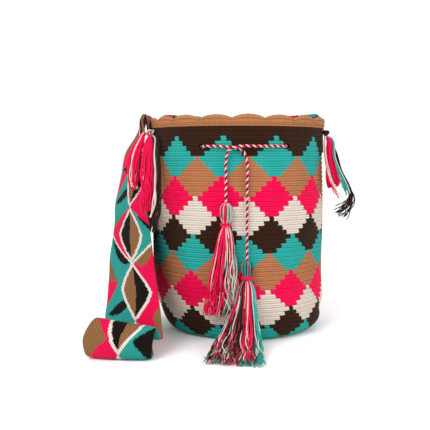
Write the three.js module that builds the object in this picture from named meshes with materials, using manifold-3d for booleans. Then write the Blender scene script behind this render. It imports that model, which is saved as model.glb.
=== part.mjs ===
// A crocheted drawstring bucket bag (mochila) with a wide woven shoulder strap, a twisted drawstring with two
// yarn tassels, and the strap's yarn ends hanging as a fringe at each side.
// Millimetres, +Z up. The origin is on the surface the bag stands on, under the centre of its mouth.
// The front, with the tassels, faces -Y. The strap hangs down at -X and its fold lies on the surface.
import * as THREE from "three";
import { mergeVertices } from "three/addons/utils/BufferGeometryUtils.js";
import Module from "manifold-3d";

const wasm = await Module();
wasm.setup();

// The crocheted body
const BAG_RADIUS = 110;
const BASE_RADIUS = 83; // the flat part that stands on the surface
const WALL = 3.5;
const BODY_HEIGHT = 256.5;
const CORNER_HEIGHT = 50; // height of the rounded corner between base and wall
const CORNER_STEPS = 5;
const BASE_SHIFT = 5; // the soft base lies this far towards +X of the mouth
const SHIFT_HEIGHT = 80; // and the wall stands over the mouth's circle from here up
const ROUND_STEPS = 60;

// The scalloped edging round the mouth
const EDGING_BOTTOM = 256.9;
const EDGING_INNER = 106.8;
const EDGING_OUTER = 112;
const SCALLOPS = 18;
const SCALLOP_VALLEY = 264.5;
const SCALLOP_RISE = 4;
const FIRST_VALLEY = -5; // degrees round from the front
const EDGING_STEPS = 108;

// Eyelets that the drawstring runs through: slots in the wall
const EYELET_HEIGHT = 233;
const EYELET_ANGLES = [-23.5, 30, 150, -150];
const EYELET_HALF_LENGTH = 8.5;
const EYELET_HALF_HEIGHT = 3.8;

// Drawstring
const CORD_DIAMETER = 3.5;
const CORD_SIDES = 8;
const CORD_STEPS = 80;

// Strap
const STRAP_THICKNESS = 4.4;
const STRAP_COLUMNS = 5;
const STRAP_STEPS = 3; // sections between two stations of the strap's route

// Tassels, fringes and knots
const BUNDLE_SIDES = 10;
const THREAD_SIDES = 8;
const WRAP_HEIGHT = 3.4;
const WRAP_INNER = 5.5;
const WRAP_OUTER = 7;
const KNOT_RADIUS = 5;

// The drawstring's route from the right tassel to the left one: degrees round from the front, radius and height.
// It goes in at one front eyelet, round inside the mouth, out across the back, and comes out at the other.
const DRAWSTRING_ROUTE = [
  [3.9, 117.6, 101.5],
  [4, 115, 140],
  [4, 113.8, 190],
  [3.7, 113.5, 217],
  [1.6, 113.5, 227.5],
  [-3.5, 113.4, 231.3],
  [-9.5, 113.3, 232.4],
  [-15, 113.4, 233],
  [-20, 112.9, 233],
  [-27, 103.9, 233],
  [-32.5, 103.5, 233],
  [-62, 103.5, 233],
  [-90, 103.5, 233],
  [-118, 103.5, 233],
  [-141, 103.5, 233],
  [-146.5, 103.9, 233],
  [-153.5, 112.9, 233],
  [-159, 113.4, 233],
  [-180, 113.4, 233],
  [-201, 113.4, 233],
  [-206.5, 112.9, 233],
  [-213.5, 103.9, 233],
  [-219, 103.5, 233],
  [-242, 103.5, 233],
  [-270, 103.5, 233],
  [-298, 103.5, 233],
  [-321, 103.5, 233],
  [-326.5, 103.9, 233],
  [-333.5, 112.9, 233],
  [-339, 113.4, 233],
  [-345, 114.8, 233],
  [-350.5, 117.4, 232.8],
  [-357, 118, 233.2],
  [-362.5, 117.4, 232],
  [-366.8, 115.8, 227.5],
  [-368.1, 114.5, 218],
  [-368.2, 114.4, 198],
  [-368.1, 118.2, 168.5],
];

// The strap's route as sections across the band, from its left end to its right one. Each row is the middle of a
// section (degrees round from the front, radius, height) and the step from there to the edge that lies nearer
// the back of the bag, in the same three.
const STRAP_ROUTE = [
  // sewn to the bag's left side, up past the edging, and over
  [-91, 112.9, 226, -14, 0, 0],
  [-91, 113.1, 243, -14, 0, 0],
  [-91, 115.2, 258, -14, 0, 0],
  [-91, 116.4, 267.5, -14, 0, 0],
  [-91.5, 120, 273.5, -14.5, 0, 0],
  [-91, 123.8, 268.5, -15, 0.8, 0],
  [-90, 126, 256, -15, 4, 0],
  // down the bag's front left, one edge turned back
  [-86.5, 138.5, 225, -15, 12, 0],
  [-81.5, 141, 195, -14.3, 12.5, 0],
  [-77, 143.5, 162, -14.5, 15.5, 0],
  [-68.4, 146, 130, -14.5, 13.6, 0],
  [-60.2, 153.7, 101, -14.1, 12.5, 0],
  [-52.1, 163.9, 75, -13.4, 10, 0],
  [-44.2, 179.5, 44, -12.4, 8.9, 0],
  // folded on the floor: a valley, a hump and the turn under
  [-39.4, 193, 22, -10.6, 12.3, 2],
  [-37.4, 209, 38, -8.4, 17, 4.5],
  [-36.8, 223.5, 20, -8.4, 20.5, 2.5],
  [-37.2, 220.5, 4.6, -8.1, 19, 0.4],
  [-39, 208.5, 2.9, -8.4, 18, 0],
  // up behind the first leg, against the bag's left side
  [-44.5, 187, 4.6, -7.9, 18, -1.8],
  [-53, 165, 21, -8.5, 11, -13],
  [-62.5, 145, 56, -12, 3, -24],
  [-77.5, 128, 107, -15, 0, -26],
  [-97, 120.5, 163, -16.5, 0, -25],
  [-123, 118.6, 219, -18.5, 0, -20],
  [-132.5, 117.4, 250, -19, 0, -7],
  [-134.5, 117.2, 266, -19.5, 0, -1.5],
  [-135.5, 109.8, 276.2, -19.5, 0, 0],
  [-136.5, 102.8, 265.5, -19.5, 0, 1],
  // hanging inside the mouth along the back wall
  [-141.5, 98.6, 245, -17.5, 0, 9],
  [-152, 95, 225, -13.5, 0.5, 21],
  [-166, 92.5, 212, -5, 3, 29],
  [-180, 92, 208, 0, 3.5, 31],
  [-194, 92.5, 212, 5, 3, 29],
  [-208, 95, 225, 13.5, 0.5, 21],
  [-223, 98.6, 245, 17.5, 0, 9],
  // over the rim, and sewn to the bag's right side
  [-236, 102.8, 265.5, 19, 0, 1],
  [-238, 109.8, 276.2, 18.5, 0, 0],
  [-240, 117, 266, 18, 0, 0],
  [-246, 114.6, 250, 16, 0, 0],
  [-252, 112.9, 226, 14, 0, 0],
];

// Bundles of yarn, as sections down their length: middle (x, y, z), half width and half depth.
const LEFT_TASSEL = [
  [-16.6, -117.2, 168, 2.4, 2.4],
  [-16.6, -117.2, 164.5, 6.2, 5.8],
  [-16.6, -117.2, 157, 7.8, 7.2],
  [-16.6, -117.2, 149.5, 6.6, 6.4],
  [-16.6, -117.2, 145.4, 4.8, 4.8],
  [-16.6, -117.2, 140.6, 4.8, 4.8],
  [-16.7, -117.5, 134, 7.5, 6],
  [-17.6, -118, 112, 11.5, 6.6],
  [-19.6, -118, 75, 15.5, 6.8],
  [-22, -118, 37, 19, 6.8],
];
const RIGHT_TASSEL = [
  [8, -117.4, 101, 2.2, 2.2],
  [8, -117.4, 98, 5.4, 5.2],
  [8, -117.4, 92, 6.6, 6.3],
  [8, -117.4, 86.5, 5.8, 5.6],
  [8, -117.4, 83.4, 4.6, 4.6],
  [8, -117.6, 78.6, 4.6, 4.6],
  [7.6, -119.5, 71, 9, 6],
  [5.5, -129.5, 50, 13.5, 7],
  [1, -146, 27, 21, 7],
  [-4, -168, 10.5, 27, 5.5],
  [-9, -197, 4.6, 30, 4],
];
const LEFT_FRINGE_PINK = [
  [-109.5, -42, 245, 3, 2.5],
  [-111, -50, 235, 6, 3],
  [-111.5, -58, 222, 7, 3.5],
  [-111, -76, 190, 7.5, 4],
  [-111, -92, 156, 6, 3.5],
];
const LEFT_FRINGE_SHORT = [
  [-116.5, -43.5, 249, 2.5, 2.3],
  [-122, -45.5, 238, 5.5, 3],
  [-128, -49.5, 221, 7, 3.5],
  [-130, -54.5, 203, 7.5, 3.5],
  [-129, -58, 190, 6, 3.2],
  [-127, -60, 181, 4, 2.5],
];
const LEFT_FRINGE_WHITE = [
  [-103.5, -48, 245, 1.3, 1.3],
  [-103, -62, 225, 1.3, 1.3],
  [-100, -85, 200, 1.3, 1.3],
  [-99.5, -98, 175, 1.3, 1.3],
  [-105, -104, 150, 1.3, 1.3],
];
const LEFT_FRINGE_DARK = [
  [-99.5, -53.5, 243, 1.5, 1.5],
  [-98, -62, 225, 2, 2],
  [-96, -76, 195, 2.6, 2.4],
  [-96, -92, 165, 2.8, 2.6],
  [-101, -108, 133, 3.8, 3],
];
const RIGHT_FRINGE_PINK = [
  [112.3, -36.5, 243.5, 2.4, 2.3],
  [113.5, -38, 222, 5, 3.5],
  [117.5, -40, 200, 7.5, 4.2],
  [120, -42, 183, 8, 4],
];
const RIGHT_FRINGE_WHITE = [
  [107.8, -42, 243.5, 1.3, 1.3],
  [109.5, -46, 212, 1.5, 1.5],
  [115.5, -50, 188, 2.2, 1.8],
  [125, -52, 170, 5, 2.2],
];
const RIGHT_FRINGE_TEAL = [
  [116.8, -38, 243, 1.5, 1.5],
  [119.5, -42, 222, 1.8, 1.8],
  [127, -47, 198, 2.4, 2],
  [136, -50, 174, 4.5, 2.6],
];
const RIGHT_FRINGE_DARK = [
  [113.5, -30, 243, 2, 2],
  [121, -30, 230, 2.4, 2.2],
  [129.5, -31, 202, 2.8, 2.4],
  [139.5, -32, 182, 3, 2.5],
  [143.5, -32, 172, 3.2, 2.6],
  [139, -32, 160, 6, 3],
  [128, -33, 147, 10, 3],
];

const PINK = 0xf70554;
const TEAL = 0x2ab3aa;
const TAN = 0xc0824c;
const BROWN = 0x351a10;
const CREAM = 0xe6e0cf;

// A point at so many degrees round from the front, towards +X.
function around(degrees, radius, height) {
  const a = THREE.MathUtils.degToRad(degrees);
  return new THREE.Vector3(radius * Math.sin(a), -radius * Math.cos(a), height);
}

function smoothStep(t) {
  return t * t * (3 - 2 * t);
}

// A solid of revolution about Z, from a closed outline of radius and height.
function revolved(outline, steps) {
  const points = outline.map(([r, z]) => new THREE.Vector2(r, z));
  return new THREE.LatheGeometry(points, steps).rotateX(Math.PI / 2);
}

function solidOf(geometry) {
  const bare = geometry.clone();
  bare.deleteAttribute("normal");
  bare.deleteAttribute("uv");
  const merged = mergeVertices(bare, 1e-3);
  const vertProperties = new Float32Array(merged.attributes.position.array);
  const triVerts = new Uint32Array(merged.index.array);
  return new wasm.Manifold(new wasm.Mesh({ numProp: 3, vertProperties, triVerts }));
}

function geometryOf(solid) {
  const mesh = solid.getMesh();
  const geometry = new THREE.BufferGeometry();
  geometry.setAttribute("position", new THREE.BufferAttribute(mesh.vertProperties, 3));
  geometry.setIndex(new THREE.BufferAttribute(mesh.triVerts, 1));
  geometry.computeVertexNormals();
  return geometry;
}

// A closed skin over a row of rings that each have the same even number of points.
function lofted(rings) {
  const sides = rings[0].length;
  const index = [];
  const quad = (a, b, c, d) => index.push(a, b, c, a, c, d);
  for (let i = 0; i < rings.length - 1; i++) {
    for (let j = 0; j < sides; j++) {
      const next = (j + 1) % sides;
      quad(i * sides + j, i * sides + next, (i + 1) * sides + next, (i + 1) * sides + j);
    }
  }
  const last = (rings.length - 1) * sides;
  for (let j = 0; j < sides / 2 - 1; j++) {
    quad(j, sides - 1 - j, sides - 2 - j, j + 1);
    quad(last + j, last + j + 1, last + sides - 2 - j, last + sides - 1 - j);
  }
  const geometry = new THREE.BufferGeometry().setFromPoints(rings.flat());
  geometry.setIndex(index);
  geometry.computeVertexNormals();
  return geometry;
}

// Rows of numbers with smooth steps put between them. place gives a row's point, which sets the spacing.
function smoothRows(rows, place, steps) {
  const gaps = rows.slice(1).map((row, i) => place(row).distanceTo(place(rows[i])));
  const slope = (i, k) => {
    if (i === 0) return (rows[1][k] - rows[0][k]) / gaps[0];
    if (i === rows.length - 1) return (rows[i][k] - rows[i - 1][k]) / gaps[i - 1];
    const before = (rows[i][k] - rows[i - 1][k]) / gaps[i - 1];
    const after = (rows[i + 1][k] - rows[i][k]) / gaps[i];
    return (before * gaps[i] + after * gaps[i - 1]) / (gaps[i - 1] + gaps[i]);
  };
  const smooth = [];
  for (let i = 0; i < rows.length - 1; i++) {
    for (let s = 0; s < steps; s++) {
      const t = s / steps;
      const rise = smoothStep(t);
      const leave = t * (1 - t) * (1 - t) * gaps[i];
      const arrive = t * t * (t - 1) * gaps[i];
      const between = (from, k) =>
        from + rise * (rows[i + 1][k] - from) + leave * slope(i, k) + arrive * slope(i + 1, k);
      smooth.push(rows[i].map(between));
    }
  }
  smooth.push(rows[rows.length - 1]);
  return smooth;
}

// The soft base lies off the mouth's centre, and the wall leans to meet it.
function leanToBase(geometry) {
  const position = geometry.attributes.position;
  for (let i = 0; i < position.count; i++) {
    const low = Math.max(0, 1 - position.getZ(i) / SHIFT_HEIGHT);
    position.setX(i, position.getX(i) + BASE_SHIFT * smoothStep(low));
  }
  return geometry;
}

function bodyOutline() {
  const corner = (inset) =>
    Array.from({ length: CORNER_STEPS + 1 }, (_, i) => {
      const turn = (i / CORNER_STEPS) * (Math.PI / 2);
      const radius = BASE_RADIUS + (BAG_RADIUS - BASE_RADIUS - inset) * Math.sin(turn);
      const height = CORNER_HEIGHT - (CORNER_HEIGHT - inset) * Math.cos(turn);
      return [radius, height];
    });
  return [
    [0, 0],
    ...corner(0),
    [BAG_RADIUS, SHIFT_HEIGHT],
    [BAG_RADIUS, BODY_HEIGHT],
    [BAG_RADIUS - WALL, BODY_HEIGHT],
    [BAG_RADIUS - WALL, SHIFT_HEIGHT],
    ...corner(WALL).reverse(),
    [0, WALL],
  ];
}

function bagBody() {
  let solid = solidOf(leanToBase(revolved(bodyOutline(), ROUND_STEPS)));
  for (const angle of EYELET_ANGLES) {
    const slot = new THREE.CylinderGeometry(1, 1, 6 * WALL, 12);
    slot.scale(EYELET_HALF_LENGTH, 1, EYELET_HALF_HEIGHT);
    slot.translate(0, -BAG_RADIUS, EYELET_HEIGHT);
    slot.rotateZ(THREE.MathUtils.degToRad(angle));
    solid = solid.subtract(solidOf(slot));
  }
  return geometryOf(solid);
}

// A ring whose top rises and falls in round scallops.
function scallopedEdging() {
  const outline = [
    [EDGING_INNER, EDGING_BOTTOM],
    [EDGING_OUTER - 1, EDGING_BOTTOM],
    [EDGING_OUTER, EDGING_BOTTOM + 3],
    [EDGING_OUTER - 1.2, SCALLOP_VALLEY - 1.5],
    [EDGING_INNER + 2.6, SCALLOP_VALLEY],
    [EDGING_INNER, SCALLOP_VALLEY - 1],
    [EDGING_INNER, EDGING_BOTTOM],
  ];
  const ring = revolved(outline, EDGING_STEPS);
  const position = ring.attributes.position;
  for (let i = 0; i < position.count; i++) {
    const [x, y, z] = [position.getX(i), position.getY(i), position.getZ(i)];
    const degrees = THREE.MathUtils.radToDeg(Math.atan2(x, -y)) - FIRST_VALLEY;
    const swell = Math.abs(Math.sin(THREE.MathUtils.degToRad((degrees * SCALLOPS) / 2)));
    if (z > EDGING_BOTTOM + 4) position.setZ(i, z + SCALLOP_RISE * swell);
  }
  return ring;
}

function drawstring() {
  const section = new THREE.Shape();
  for (let i = 0; i < CORD_SIDES; i++) {
    const turn = (i / CORD_SIDES) * 2 * Math.PI;
    const [x, y] = [Math.cos(turn) * CORD_DIAMETER * 0.5, Math.sin(turn) * CORD_DIAMETER * 0.5];
    if (i === 0) section.moveTo(x, y);
    else section.lineTo(x, y);
  }
  const points = DRAWSTRING_ROUTE.map((row) => around(...row));
  const route = new THREE.CatmullRomCurve3(points, false, "centripetal");
  return new THREE.ExtrudeGeometry(section, { steps: CORD_STEPS, extrudePath: route });
}

// The woven band: each section follows the curve of the bag's wall, and has the band's thickness.
function strap() {
  const rows = smoothRows(STRAP_ROUTE, (row) => around(row[0], row[1], row[2]), STRAP_STEPS);
  const across = Array.from({ length: STRAP_COLUMNS }, (_, j) => (2 * j) / (STRAP_COLUMNS - 1) - 1);
  const middle = rows.map(([a, r, z, da, dr, dz]) =>
    across.map((u) => around(a + u * da, r + u * dr, z + u * dz)),
  );
  const rings = middle.map((section, i) => {
    const [before, after] = [middle[Math.max(i - 1, 0)], middle[Math.min(i + 1, middle.length - 1)]];
    const offset = section.map((_, j) => {
      const along = after[j].clone().sub(before[j]);
      const side = section[Math.min(j + 1, STRAP_COLUMNS - 1)].clone().sub(section[Math.max(j - 1, 0)]);
      return side.cross(along).setLength(STRAP_THICKNESS / 2);
    });
    const outer = section.map((p, j) => p.clone().add(offset[j]));
    const inner = section.map((p, j) => p.clone().sub(offset[j]));
    return [...outer, ...inner.reverse()];
  });
  return lofted(rings);
}

// A soft bundle of yarn: oval sections down a smooth path, wide along X.
function bundle(stations, sides) {
  const place = ([x, y, z]) => new THREE.Vector3(x, y, z);
  const rows = smoothRows(stations, place, 2);
  const rings = rows.map((row, i) => {
    const heading = place(rows[Math.min(i + 1, rows.length - 1)]).sub(place(rows[Math.max(i - 1, 0)]));
    heading.normalize();
    const wide = new THREE.Vector3(1, 0, 0).addScaledVector(heading, -heading.x).normalize();
    const deep = new THREE.Vector3().crossVectors(heading, wide);
    return Array.from({ length: sides }, (_, j) => {
      const turn = ((j + 0.5) / sides) * 2 * Math.PI;
      return place(row)
        .addScaledVector(wide, row[3] * Math.cos(turn))
        .addScaledVector(deep, row[4] * Math.sin(turn));
    });
  });
  return lofted(rings);
}

// The binding wound round a tassel's neck.
function neckWrap() {
  const half = WRAP_HEIGHT / 2;
  const outline = [
    [WRAP_INNER, -half],
    [WRAP_OUTER - 0.6, -half],
    [WRAP_OUTER, 0],
    [WRAP_OUTER - 0.6, half],
    [WRAP_INNER, half],
    [WRAP_INNER, -half],
  ];
  return revolved(outline, 16);
}

function knot() {
  return new THREE.SphereGeometry(KNOT_RADIUS, 12, 8);
}

function yarn(color) {
  return new THREE.MeshStandardMaterial({ color, roughness: 0.9, metalness: 0 });
}

function piece(name, geometry, color) {
  const mesh = new THREE.Mesh(geometry, yarn(color));
  mesh.name = name;
  return mesh;
}

function placed(mesh, position) {
  mesh.position.copy(position);
  return mesh;
}

const bag = new THREE.Group();
bag.add(piece("bag_body", bagBody(), BROWN));
bag.add(piece("scalloped_edging", scallopedEdging(), TAN));
bag.add(piece("strap", strap(), PINK));
bag.add(piece("drawstring", drawstring(), CREAM));

const tassels = new THREE.Group();
tassels.add(piece("tassel_left", bundle(LEFT_TASSEL, BUNDLE_SIDES), PINK));
tassels.add(piece("tassel_right", bundle(RIGHT_TASSEL, BUNDLE_SIDES), TEAL));
const leftNeck = new THREE.Vector3(-16.6, -117.2, 143);
const rightNeck = new THREE.Vector3(8, -117.5, 81);
tassels.add(placed(piece("tassel_left_neck_wrap", neckWrap(), PINK), leftNeck));
tassels.add(placed(piece("tassel_right_neck_wrap", neckWrap(), PINK), rightNeck));
bag.add(tassels);

const fringes = new THREE.Group();
fringes.add(placed(piece("strap_knot_left", knot(), CREAM), around(-71, 115.3, 251)));
fringes.add(placed(piece("strap_knot_right", knot(), BROWN), around(72, 115.3, 250)));
fringes.add(piece("fringe_left_pink", bundle(LEFT_FRINGE_PINK, THREAD_SIDES), PINK));
fringes.add(piece("fringe_left_short", bundle(LEFT_FRINGE_SHORT, THREAD_SIDES), PINK));
fringes.add(piece("fringe_left_white", bundle(LEFT_FRINGE_WHITE, THREAD_SIDES), CREAM));
fringes.add(piece("fringe_left_dark", bundle(LEFT_FRINGE_DARK, THREAD_SIDES), BROWN));
fringes.add(piece("fringe_right_pink", bundle(RIGHT_FRINGE_PINK, THREAD_SIDES), PINK));
fringes.add(piece("fringe_right_white", bundle(RIGHT_FRINGE_WHITE, THREAD_SIDES), CREAM));
fringes.add(piece("fringe_right_teal", bundle(RIGHT_FRINGE_TEAL, THREAD_SIDES), TEAL));
fringes.add(piece("fringe_right_dark", bundle(RIGHT_FRINGE_DARK, THREAD_SIDES), BROWN));
bag.add(fringes);

export default bag;
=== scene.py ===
"""A crocheted drawstring bucket bag with a woven strap, two tassels and fringed strap ends, built round its frame."""
import math
import random

import bpy
import numpy as np
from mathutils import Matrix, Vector


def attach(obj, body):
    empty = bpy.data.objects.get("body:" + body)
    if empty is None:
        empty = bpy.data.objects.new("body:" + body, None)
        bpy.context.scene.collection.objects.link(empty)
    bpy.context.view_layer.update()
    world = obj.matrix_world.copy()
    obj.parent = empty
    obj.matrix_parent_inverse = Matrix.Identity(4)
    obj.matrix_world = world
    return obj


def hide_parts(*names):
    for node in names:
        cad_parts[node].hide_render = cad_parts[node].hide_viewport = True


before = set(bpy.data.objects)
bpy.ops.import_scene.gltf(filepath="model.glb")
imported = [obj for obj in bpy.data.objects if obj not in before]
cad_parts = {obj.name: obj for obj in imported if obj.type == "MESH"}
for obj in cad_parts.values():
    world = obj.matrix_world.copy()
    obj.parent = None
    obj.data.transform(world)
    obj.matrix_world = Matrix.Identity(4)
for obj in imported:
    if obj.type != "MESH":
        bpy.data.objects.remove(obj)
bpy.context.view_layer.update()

MM = 0.001

# ---------------------------------------------------------------- camera
CAMERA_AT = (-0.029, -0.935, 0.222)
CAMERA_PITCH = 4.75  # degrees below level
LENS_MM = 59.8
SENSOR_MM = 36.0


def add_camera():
    data = bpy.data.cameras.new("camera")
    data.lens = LENS_MM
    data.sensor_width = SENSOR_MM
    camera = bpy.data.objects.new("camera", data)
    camera.location = CAMERA_AT
    camera.rotation_euler = (math.radians(90 - CAMERA_PITCH), 0, 0)
    bpy.context.scene.collection.objects.link(camera)
    bpy.context.scene.camera = camera


add_camera()


# ---------------------------------------------------------------- geometry helpers
def around(degrees, radius, height):
    """A point at so many degrees round from the front, towards +X. Takes numbers or arrays."""
    a = np.radians(degrees)
    return np.stack(np.broadcast_arrays(radius * np.sin(a), -radius * np.cos(a), height), axis=-1)


def smooth_step(t):
    """From 0 to 1 with a level start and end."""
    return t * t * (3 - 2 * t)


def smooth_rows(rows, points, steps):
    """Rows of numbers with smooth steps put between them, spaced by the rows' points."""
    rows, points = np.array(rows, float), np.array(points, float)
    gaps = np.linalg.norm(np.diff(points, axis=0), axis=1)[:, None]
    change = np.diff(rows, axis=0) / gaps
    slopes = np.empty_like(rows)
    slopes[0], slopes[-1] = change[0], change[-1]
    slopes[1:-1] = (change[:-1] * gaps[1:] + change[1:] * gaps[:-1]) / (gaps[:-1] + gaps[1:])
    made = []
    for i in range(len(rows) - 1):
        for t in np.arange(steps) / steps:
            leave = t * (1 - t) ** 2 * gaps[i]
            arrive = t * t * (t - 1) * gaps[i]
            made.append(rows[i] + smooth_step(t) * (rows[i + 1] - rows[i]) + leave * slopes[i] + arrive * slopes[i + 1])
    made.append(rows[-1])
    return np.array(made)


def lengths_along(points):
    """How far along its points each point of a path is."""
    return np.concatenate([[0], np.cumsum(np.linalg.norm(np.diff(points, axis=0), axis=1))])


def even_rows(rows, points, step):
    """The rows again at even distances along their points, and those distances."""
    along = lengths_along(points)
    at = np.linspace(0, along[-1], max(2, int(round(along[-1] / step)) + 1))
    return np.stack([np.interp(at, along, rows[:, k]) for k in range(rows.shape[1])], axis=1), at


def normalised(vectors):
    """The vectors at length 1."""
    return vectors / np.linalg.norm(vectors, axis=-1)[..., None]


TUBE_START = (0.31, 0.45, 0.84)  # a direction that no tube here starts along


class Skin:
    """Collects vertices (mm) and faces with a material name and a stitch coordinate for each corner."""

    def __init__(self):
        self.verts, self.faces, self.slots, self.corners = [], [], [], []
        self.count = 0

    def add(self, points):
        start = self.count
        self.verts.append(np.asarray(points, float).reshape(-1, 3))
        self.count += len(self.verts[-1])
        return start

    def face(self, corners, slot, uv=None):
        self.faces.append(corners)
        self.slots.append(slot)
        self.corners.append(uv or [(0.0, 0.0)] * len(corners))

    def tube(self, path, radius, slot, sides=6):
        """A closed tube along a path, with a radius (or one for each point)."""
        path = np.asarray(path, float)
        n = len(path)
        radius = np.broadcast_to(radius, n)
        heading = normalised(np.gradient(path, axis=0))
        side = np.cross(heading[0], TUBE_START)
        rings = []
        turns = np.arange(sides) * 2 * math.pi / sides
        along = lengths_along(path)
        for i in range(n):
            side = normalised(side - heading[i] * np.dot(side, heading[i]))
            up = np.cross(heading[i], side)
            rings.append(path[i] + radius[i] * (np.cos(turns)[:, None] * side + np.sin(turns)[:, None] * up))
        start = self.add(np.concatenate(rings))
        for i in range(n - 1):
            a, b = start + i * sides, start + (i + 1) * sides
            for j in range(sides):
                k = (j + 1) % sides
                u0, u1 = j / sides, (j + 1) / sides
                uv = [(u0, along[i]), (u1, along[i]), (u1, along[i + 1]), (u0, along[i + 1])]
                self.face((a + j, a + k, b + k, b + j), slot, uv)
        end = start + (n - 1) * sides
        self.face(tuple(start + j for j in reversed(range(sides))), slot)
        self.face(tuple(end + j for j in range(sides)), slot)

    def object(self, name, materials):
        mesh = bpy.data.meshes.new(name)
        mesh.from_pydata((np.concatenate(self.verts) * MM).tolist(), [], self.faces)
        names = list(dict.fromkeys(self.slots))
        for slot in names:
            mesh.materials.append(materials[slot])
        index = {slot: i for i, slot in enumerate(names)}
        mesh.polygons.foreach_set("material_index", [index[s] for s in self.slots])
        mesh.polygons.foreach_set("use_smooth", [True] * len(self.faces))
        layer = mesh.uv_layers.new(name="stitch")
        layer.data.foreach_set("uv", [x for face in self.corners for corner in face for x in corner])
        mesh.update()
        made = bpy.data.objects.new(name, mesh)
        bpy.context.scene.collection.objects.link(made)
        return made


# ---------------------------------------------------------------- materials
def linear(r, g, b):
    """An sRGB colour, 0 to 255, as the linear values that a shader takes."""
    return tuple((c / 12.92 if c <= 0.04045 else ((c + 0.055) / 1.055) ** 2.4) for c in (r / 255, g / 255, b / 255))


PALETTE = {
    "pink": linear(228, 0, 72),
    "teal": linear(36, 155, 147),
    "tan": linear(168, 107, 70),
    "cream": linear(208, 196, 183),
    "brown": linear(46, 23, 9),
}
STRAP_PALETTE = {
    "pink": linear(212, 0, 68),
    "teal": linear(34, 139, 131),
    "tan": linear(128, 89, 54),
    "cream": linear(211, 201, 191),
    "brown": linear(14, 6, 4),
}


YARN_ROUGHNESS = 0.92
YARN_SPECULAR = 0.08
SHEEN_ROUGHNESS = 0.5
BLOTCH_SCALE = 60.0  # of the slow noise that varies a yarn's colour
BLOTCH_DARK, BLOTCH_LIGHT, BLOTCH_LIFT = 0.86, 1.06, 0.004
SHADOW_SHARE = 0.35  # of the colour, the painted shade deep between two stitches or threads
BUMP_STRENGTH = 0.8
FIBRE_DETAIL = 2.0


class Nodes:
    """A short way to write a material's node tree."""

    def __init__(self, name, color, sheen=0.03):
        self.material = bpy.data.materials.new(name)
        self.material.use_nodes = True
        self.tree = self.material.node_tree
        self.shader = self.tree.nodes["Principled BSDF"]
        self.shader.inputs["Roughness"].default_value = YARN_ROUGHNESS
        self.shader.inputs["Specular IOR Level"].default_value = YARN_SPECULAR
        self.shader.inputs["Sheen Weight"].default_value = sheen
        self.shader.inputs["Sheen Roughness"].default_value = SHEEN_ROUGHNESS
        self.material.diffuse_color = (*color, 1)

    def node(self, kind, inputs=None, **settings):
        made = self.tree.nodes.new(kind)
        for key, value in settings.items():
            setattr(made, key, value)
        for key, value in (inputs or {}).items():
            if isinstance(value, bpy.types.NodeSocket):
                self.tree.links.new(value, made.inputs[key])
            else:
                made.inputs[key].default_value = value
        return made

    def math(self, operation, a, b=0.0, c=0.0):
        return self.node("ShaderNodeMath", {0: a, 1: b, 2: c}, operation=operation).outputs[0]

    def wave(self, count):
        """0 at each whole number of the count, and 1 half way between two."""
        return self.math("ABSOLUTE", self.math("SINE", self.math("MULTIPLY", count, math.pi)))

    def stitch(self):
        """The stitch coordinate: across and along."""
        uv = self.node("ShaderNodeUVMap", uv_map="stitch").outputs[0]
        split = self.node("ShaderNodeSeparateXYZ", {0: uv})
        return split.outputs[0], split.outputs[1]

    def noise(self, scale, detail=3.0):
        at = self.node("ShaderNodeTexCoord").outputs["Object"]
        made = self.node("ShaderNodeTexNoise", {"Vector": at, "Scale": scale, "Detail": detail})
        return made.outputs["Fac"]

    def shade(self, color, shade):
        """The base colour, blotched by slow noise and darkened by painted shade where the shade socket is low."""
        low = tuple(c * BLOTCH_DARK for c in color)
        high = tuple(min(1.0, c * BLOTCH_LIGHT + BLOTCH_LIFT) for c in color)
        blotch = self.node("ShaderNodeMix", {"Factor": self.noise(BLOTCH_SCALE)}, data_type="RGBA")
        blotch.inputs["A"].default_value = (*low, 1)
        blotch.inputs["B"].default_value = (*high, 1)
        dark = self.node("ShaderNodeMix", {"Factor": shade}, data_type="RGBA")
        dark.inputs["A"].default_value = (*(c * SHADOW_SHARE for c in color), 1)
        self.tree.links.new(blotch.outputs["Result"], dark.inputs["B"])
        self.tree.links.new(dark.outputs["Result"], self.shader.inputs["Base Color"])

    def bump(self, height, distance):
        made = self.node("ShaderNodeBump", {"Height": height, "Distance": distance, "Strength": BUMP_STRENGTH})
        self.tree.links.new(made.outputs["Normal"], self.shader.inputs["Normal"])


def crochet(name, color, groove_shade=0.55):
    """Crochet stitches: across counts stitches, along counts courses, with painted shade in the dark line between
    courses.
    """
    nodes = Nodes(name, color)
    across, along = nodes.stitch()
    course = nodes.math("FRACT", along)
    middle = nodes.math("ABSOLUTE", nodes.math("SUBTRACT", course, 0.5))  # 0 mid course, 0.5 at its edges
    lean = nodes.math("MULTIPLY_ADD", middle, 0.7, across)
    leg = nodes.wave(lean)
    ridge = nodes.math("SUBTRACT", 1.0, nodes.math("POWER", nodes.math("MULTIPLY", middle, 2.0), 3.0))
    leg = nodes.math("MULTIPLY_ADD", nodes.math("POWER", leg, 0.5), 0.3, 0.7)
    height = nodes.math("MULTIPLY", leg, ridge)
    fibre = nodes.math("MULTIPLY", nodes.noise(1800.0, FIBRE_DETAIL), 0.25)
    nodes.bump(nodes.math("ADD", height, fibre), 0.0009)
    # painted shade: the colour darkens in the grooves between stitches and between courses
    shade = nodes.math("MULTIPLY_ADD", height, groove_shade, 1.0 - groove_shade)
    nodes.shade(color, shade)
    return nodes.material


def woven(name, color):
    """A fine diagonal weave: across and along count threads."""
    nodes = Nodes(name, color)
    across, along = nodes.stitch()
    line, cross = (nodes.wave(nodes.math(sign, across, along)) for sign in ("ADD", "SUBTRACT"))
    height = nodes.math("MULTIPLY_ADD", cross, 0.3, line)
    fibre = nodes.math("MULTIPLY", nodes.noise(1600.0, FIBRE_DETAIL), 0.25)
    nodes.bump(nodes.math("ADD", height, fibre), 0.0006)
    # painted shade: the colour darkens between the threads of the weave
    nodes.shade(color, nodes.math("MULTIPLY_ADD", line, 0.5, 0.5))
    return nodes.material


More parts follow.
